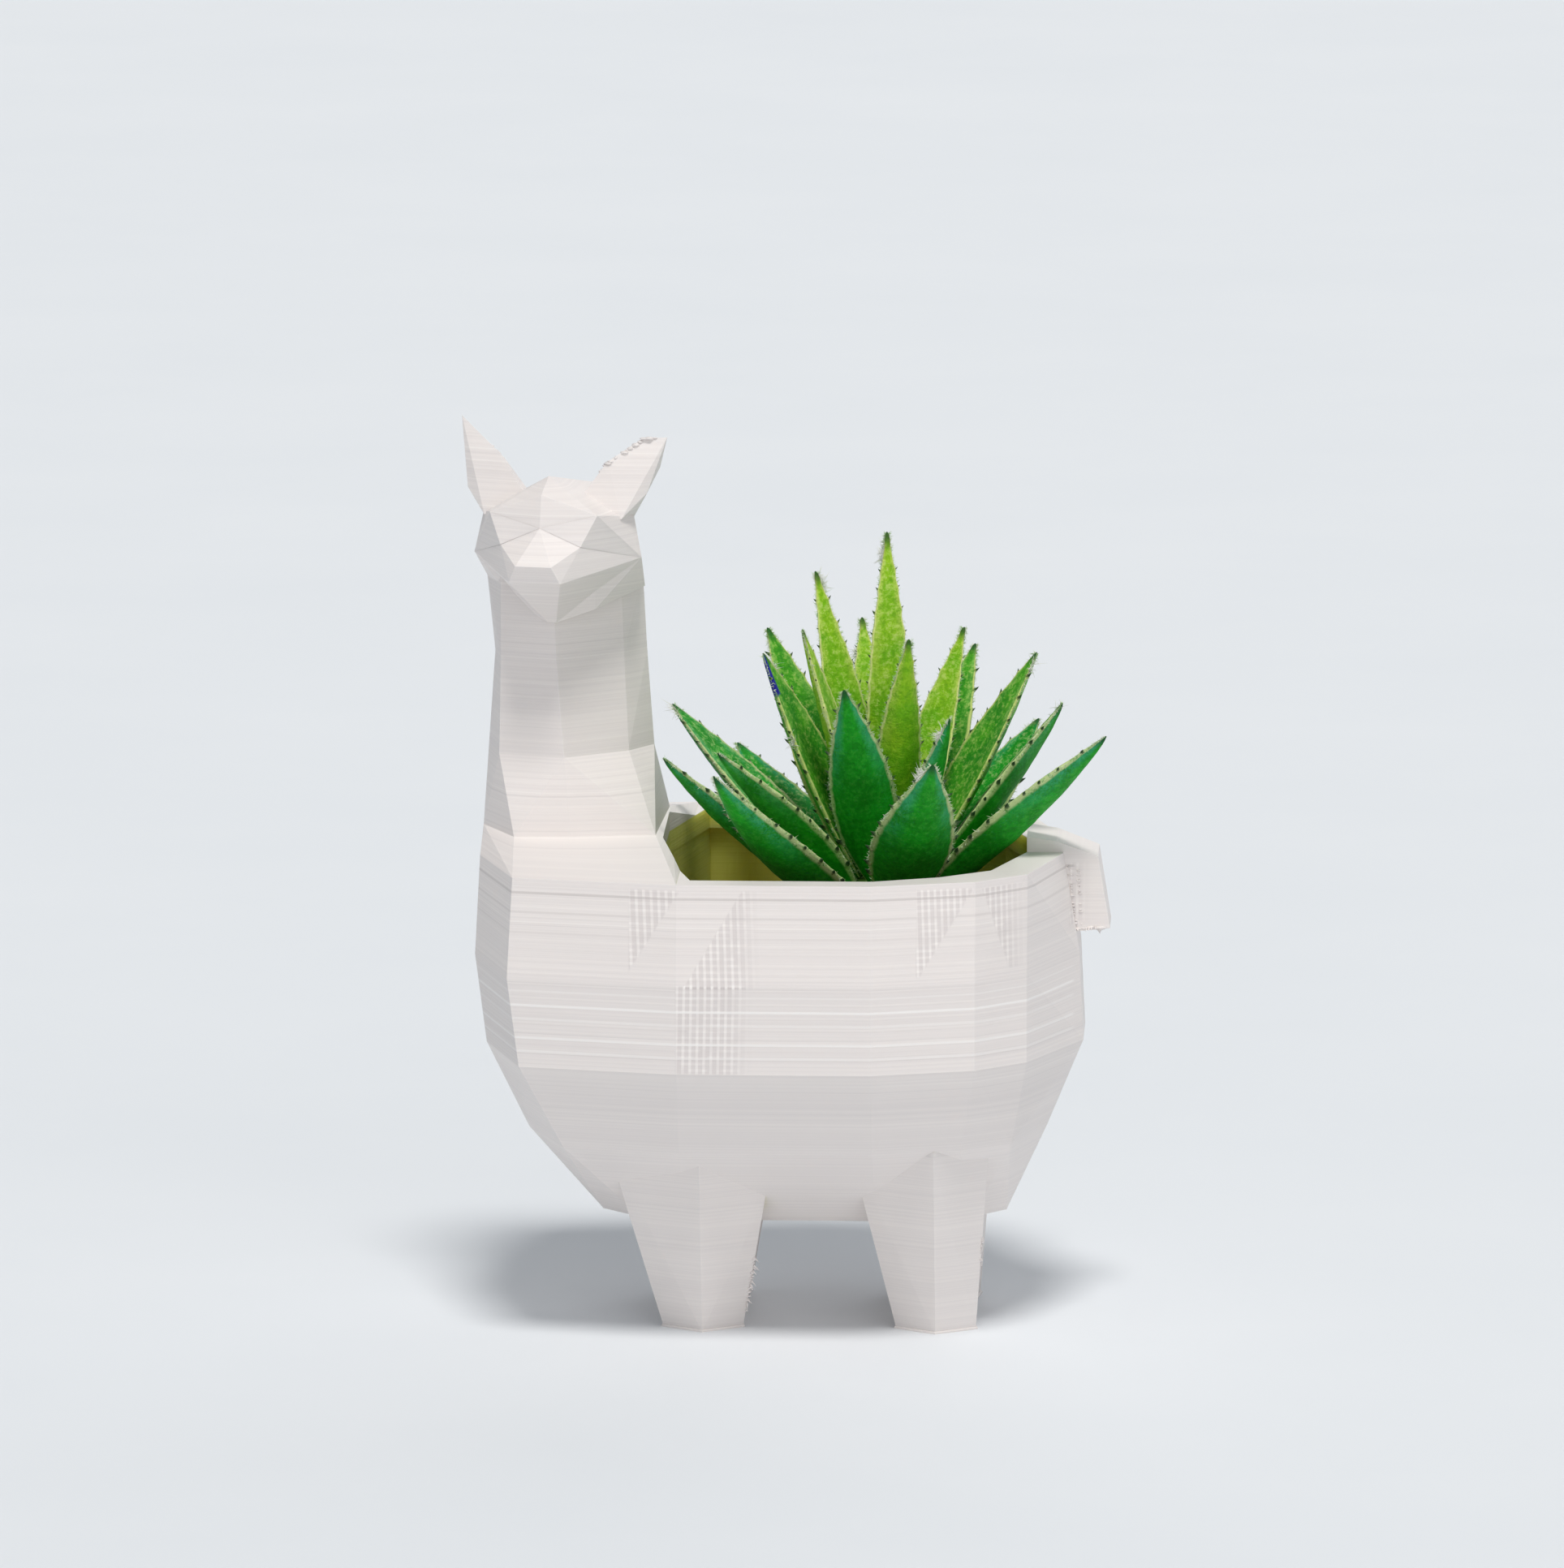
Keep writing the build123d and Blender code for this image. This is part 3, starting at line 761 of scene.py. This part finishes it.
WELD_DISTANCE = 0.005 * MM
EDGE_WIDTH, EDGE_SEGMENTS, EDGE_LEAST_ANGLE = 0.18 * MM, 2, math.radians(6)


def soften(node):
    """Welds the CAD facets and rounds their edges a little."""
    weld = node.modifiers.new("weld", "WELD")
    weld.merge_threshold = WELD_DISTANCE
    bevel = node.modifiers.new("edges", "BEVEL")
    bevel.width = EDGE_WIDTH
    bevel.segments = EDGE_SEGMENTS
    bevel.limit_method = "ANGLE"
    bevel.angle_limit = EDGE_LEAST_ANGLE


pot = nodes["llama_pot"]
white = printed_plastic()
paint(pot, white)
soften(pot)
stem = stem_plastic()
paint(nodes["plant_stem"], stem)
paint(nodes["leaf_core"], stem)
pot_surface = BVHTree.FromPolygons(
    [v.co for v in pot.data.vertices], [p.vertices for p in pot.data.polygons]
)


# Print flaws: blobs and strings on the ears, the legs and the tail, in millimetres

HEAD_BASE = Vector((-25.115, 0.0, 84.0))
HEAD_TURN = math.radians(79)
HEAD_FORWARD = Vector((-math.cos(HEAD_TURN), -math.sin(HEAD_TURN), 0))
HEAD_SIDEWAYS = Vector((math.sin(HEAD_TURN), -math.cos(HEAD_TURN), 0))


def on_head(forward, sideways, height):
    """A point of the head in the part's frame, in millimetres."""
    return HEAD_BASE + HEAD_FORWARD * forward + HEAD_SIDEWAYS * sideways + Vector((0, 0, height))


class Flaw(NamedTuple):
    """Blobs and strings of stray plastic along a line of points."""

    name: str
    line: tuple
    blobs: int
    blob_radius: float
    strings: int = 0
    string_length: float = 0.0
    string_radius: float = 0.0


EAR_BEND, EAR_TOP = on_head(5.7, 6.1, 16.8), on_head(4.1, 9.9, 19.4)
FLAWS = (
    Flaw("ear_edge_blobs", (on_head(6.2, 4.8, 15.4), EAR_BEND, EAR_TOP), 26, 0.3, 3, 0.4, 0.06),
    Flaw("ear_tip_blobs", (EAR_TOP, on_head(3.9, 11.2, 19.4)), 7, 0.3, 2, 0.3, 0.06),
    Flaw("other_ear_blobs", (on_head(4.5, -8.6, 18.5), on_head(5.4, -6.4, 16.8)), 9, 0.24, 2, 0.3, 0.06),
    Flaw("front_leg_strings", (Vector((-3.2, -12.1, 8.8)), Vector((-4.4, -10.4, 2.0))), 16, 0.2, 12, 0.75, 0.16),
    Flaw("rear_leg_strings", (Vector((23.0, -12.8, 11.4)), Vector((22.6, -11.6, 7.0))), 10, 0.16, 8, 0.55, 0.12),
    Flaw("tail_end_strings", (Vector((35.9, -3.4, 46.2)), Vector((32.5, -3.9, 45.8))), 14, 0.2, 10, 0.6, 0.12),
    Flaw("tail_corner_blobs", (Vector((36.4, -3.4, 45.9)), Vector((36.0, -3.45, 45.8))), 11, 0.36, 5, 0.45, 0.22),
    Flaw("tail_face_blobs", (Vector((32.7, -4.1, 53.4)), Vector((33.3, -3.9, 46.4))), 22, 0.22),
    Flaw("tail_ridge_blobs", (Vector((33.7, -4.0, 53.0)), Vector((34.1, -3.8, 46.4))), 16, 0.18),
)
# How deep a blob sits in the shell as a share of its size, how uneven it is, and how far a string droops
BLOB_SINK, BLOB_UNEVEN, STRING_DROOP = 0.3, 0.25, Vector((0, 0, -0.6))
STRING_SIDES, STRING_STEPS = 5, 4


def along_line(points, share):
    """The point at a share of the way along a line of points."""
    spot = share * (len(points) - 1)
    index = min(int(spot), len(points) - 2)
    return points[index].lerp(points[index + 1], spot - index)


def on_shell(line, chance):
    """A chance place on the shell beside a line, and the shell's normal there."""
    spot, normal, _, _ = pot_surface.find_nearest(along_line(line, chance.random()) * MM)
    return spot, normal


def blob(builder, centre, radius, chance):
    """A small uneven lump of plastic."""
    made = bmesh.ops.create_icosphere(builder, subdivisions=2, radius=radius)["verts"]
    squash = Vector((chance.uniform(1.0, 1.7), chance.uniform(1.0, 1.5), chance.uniform(0.45, 0.65)))
    for vertex in made:
        swell = 1 + BLOB_UNEVEN * noise.noise(vertex.co * 4000 + centre * 900)
        vertex.co = centre + vertex.co * squash * swell


def add_flaw(flaw):
    """Blobs and strings that sit on the shell along a line."""
    chance = random.Random(flaw.name)
    builder = bmesh.new()
    for _ in range(flaw.blobs):
        spot, normal = on_shell(flaw.line, chance)
        size = flaw.blob_radius * chance.uniform(0.5, 1.2) * MM
        blob(builder, spot - normal * BLOB_SINK * size, size, chance)
    for _ in range(flaw.strings):
        spot, normal = on_shell(flaw.line, chance)
        aside = Vector((chance.uniform(-0.5, 0.3), chance.uniform(-0.5, 0.5), chance.uniform(-0.9, 0.5)))
        reach = flaw.string_length * chance.uniform(0.4, 1.2) * MM
        radius = flaw.string_radius * MM
        spike(builder, spot, normal + aside, STRING_DROOP, reach, radius, STRING_SIDES, STRING_STEPS)
    smooth_faces(builder)
    new_piece(flaw.name, builder, "pot", "white_pla", white)


for flaw in FLAWS:
    add_flaw(flaw)


# Notches of the shell that are filled: corners in millimetres, on one side

FLANKS = {"near": -1, "far": 1}
# The step at the top of a hind leg, and the point of the body above it
LEG_NOTCH = (
    (16.5, 19.95, 22.28),
    (17.6, 20.53, 22.28),
    (19.3, 19.15, 22.28),
    (17.65, 20.56, 22.98),
    (17.6, 19.9, 22.6),
)
# Below an eye, between the brow, the bridge of the nose and the cheek, in the head's directions
EYE_NOTCH = ((12.03, 6.33, 11.2), (13.85, 0.0, 9.8), (13.53, 4.72, 7.72), (5.42, 9.9, 5.5))


def fill_notch(name, corners):
    """Closes a notch between two of the shell's forms with the hull of its corners."""
    builder = bmesh.new()
    bmesh.ops.convex_hull(builder, input=[builder.verts.new(corner) for corner in corners])
    new_piece(name, builder, "pot", "white_pla", white)


for flank, sign in FLANKS.items():
    fill_notch(f"rear_{flank}_leg_top", [Vector((x, sign * y, z)) * MM for x, y, z in LEG_NOTCH])
for side, sign in {"left": -1, "right": 1}.items():
    fill_notch(f"{side}_eye_facets", [on_head(a, sign * b, c) * MM for a, b, c in EYE_NOTCH])


# First layer of the hooves, squeezed out a little round their soles

HOOF_SPREAD, HOOF_LAYER, HOOF_LAP = 0.25 * MM, 0.3 * MM, 0.6 * MM
SOLE_POINTS_PER_EDGE, SOLE_ROOM = 6, 0.01 * MM
# Where the soles of the front and of the rear legs lie along X, in millimetres
SOLE_STRETCHES = {"front": (-30, 4), "rear": (4, 30)}
# The squeezed layer's section: reach beyond the sole, and height
HOOF_SECTION = (
    (-HOOF_LAP, 0.0),
    (HOOF_SPREAD, 0.0),
    (HOOF_SPREAD, 0.6 * HOOF_LAYER),
    (0.4 * HOOF_SPREAD, HOOF_LAYER),
    (-HOOF_LAP, HOOF_LAYER),
)


def middle_of(points):
    return sum(points, Vector((0, 0, 0))) / len(points)


def sole_outline(corners):
    """The outline of a sole, with points added along its edges."""
    middle = middle_of(corners)
    ordered = sorted(corners, key=lambda p: math.atan2(p.y - middle.y, p.x - middle.x))
    outline = []
    for start, end in zip(ordered, ordered[1:] + ordered[:1]):
        outline += [start.lerp(end, step / SOLE_POINTS_PER_EDGE) for step in range(SOLE_POINTS_PER_EDGE)]
    return outline


def hoof_spread(name, outline):
    """The squeezed first layer round a sole."""
    builder = bmesh.new()
    middle = middle_of(outline)
    rings = []
    for reach, level in HOOF_SECTION:
        ring = []
        for point in outline:
            outward = (point - middle).normalized()
            ring.append(builder.verts.new(point + outward * reach + Vector((0, 0, level))))
        rings.append(ring)
    for lower, upper in zip(rings, rings[1:] + rings[:1]):
        bridge(builder, lower, upper)
    new_piece(name, builder, "pot", "white_pla", white)


soles = [v.co.copy() for v in pot.data.vertices if v.co.z < SOLE_ROOM]
for leg, (from_x, to_x) in SOLE_STRETCHES.items():
    for flank, sign in FLANKS.items():
        corners = {
            (round(p.x, 6), round(p.y, 6)) for p in soles if from_x * MM < p.x < to_x * MM and p.y * sign > 0
        }
        outline = sole_outline([Vector((px, py, 0)) for px, py in sorted(corners)])
        hoof_spread(f"{leg}_{flank}_first_layer", outline)


# Foam plug: the CAD block with a crumbly cut surface

FOAM_VOXEL, FOAM_DEPTH = 0.55 * MM, 0.4 * MM
# Noise scales of the pits, the share of the coarse ones, and how far the surface is set in and stands out
FINE_PITS, COARSE_PITS, COARSE_SHARE = 1400, 520, 0.8
FOAM_SET_IN, FOAM_STANDS_OUT = 0.35, 0.2


def make_foam(node):
    """A rough copy of the plug that stays inside it."""
    piece = add_object("foam_plug_cut", node.data.copy())
    remesh = piece.modifiers.new("voxels", "REMESH")
    remesh.mode = "VOXEL"
    remesh.voxel_size = FOAM_VOXEL
    bpy.context.view_layer.update()
    done = bpy.data.meshes.new_from_object(piece.evaluated_get(bpy.context.evaluated_depsgraph_get()))
    piece.modifiers.clear()
    piece.data = done
    # Each move of a vertex would have all normals worked out again, so they are read first
    normals = [vertex.normal.copy() for vertex in done.vertices]
    for vertex, normal in zip(done.vertices, normals):
        pits = noise.noise(vertex.co * FINE_PITS) + COARSE_SHARE * noise.noise(vertex.co * COARSE_PITS)
        vertex.co -= normal * FOAM_DEPTH * (FOAM_SET_IN + max(pits, -FOAM_STANDS_OUT))
    for polygon in done.polygons:
        polygon.use_smooth = True
    paint(piece, foam_block())
    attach(piece, "filler")
    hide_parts("foam_plug")


make_foam(nodes["foam_plug"])


# Floor, light and camera

FLOOR_HALF_SIZE, FLOOR_SEGMENTS = 6.0, 8
WORLD_COLOUR, WORLD_STRENGTH = srgb(232, 238, 244), 0.36
VIEW_YAW, VIEW_ELEVATION, VIEW_DISTANCE = math.radians(2.4), math.radians(10.0), 1.6
VIEW_TARGET = Vector((-0.625, 0.0, 61.97)) * MM
PHOTO_WIDTH_PX, MM_PER_PX = 1927, 0.0937


def make_floor():
    """A wide pale floor."""
    m = Material("pale_floor")
    m.set(Base_Color=m.mix(m.noise(14, 3.0), srgb(226, 230, 234), srgb(232, 235, 238)), Roughness=0.7)
    builder = bmesh.new()
    bmesh.ops.create_grid(
        builder, x_segments=FLOOR_SEGMENTS, y_segments=FLOOR_SEGMENTS, size=FLOOR_HALF_SIZE
    )
    floor = add_mesh("floor", builder)
    paint(floor, m.material)


def aim(obj, target):
    """Turns a lamp or the camera towards a point."""
    obj.rotation_euler = (Vector(target) - obj.location).to_track_quat("-Z", "Y").to_euler()


def make_light(name, towards, strength, spread, colour):
    """A broad, even light that comes from the given direction."""
    lamp = bpy.data.lights.new(name, "SUN")
    lamp.energy = strength
    lamp.angle = math.radians(spread)
    lamp.color = colour
    light = add_object(name, lamp)
    light.location = towards
    aim(light, (0, 0, 0))


def make_world():
    """Even light from all round."""
    world = bpy.data.worlds.new("studio")
    bpy.context.scene.world = world
    world.use_nodes = True
    background = world.node_tree.nodes["Background"]
    background.inputs["Color"].default_value = (*WORLD_COLOUR, 1.0)
    background.inputs["Strength"].default_value = WORLD_STRENGTH


def make_camera():
    """A camera at the photograph's viewing angle and framing."""
    camera_data = bpy.data.cameras.new("camera")
    camera_data.sensor_fit = "HORIZONTAL"
    camera_data.lens = camera_data.sensor_width * VIEW_DISTANCE / (PHOTO_WIDTH_PX * MM_PER_PX * MM)
    camera = add_object("camera", camera_data)
    level = math.cos(VIEW_ELEVATION)
    camera.location = VIEW_TARGET + VIEW_DISTANCE * Vector(
        (math.sin(VIEW_YAW) * level, -math.cos(VIEW_YAW) * level, math.sin(VIEW_ELEVATION))
    )
    aim(camera, VIEW_TARGET)
    bpy.context.scene.camera = camera


make_floor()
make_light("key", (0.06, -0.40, 0.91), 2.0, 14, (1.0, 0.98, 0.955))
make_light("fill", (0.32, -0.91, 0.26), 0.58, 60, (1.0, 0.985, 0.97))
make_light("back", (0.30, 0.90, 0.32), 0.6, 60, (0.99, 0.99, 1.0))
make_world()
make_camera()
bpy.context.scene.view_settings.view_transform = "Standard"
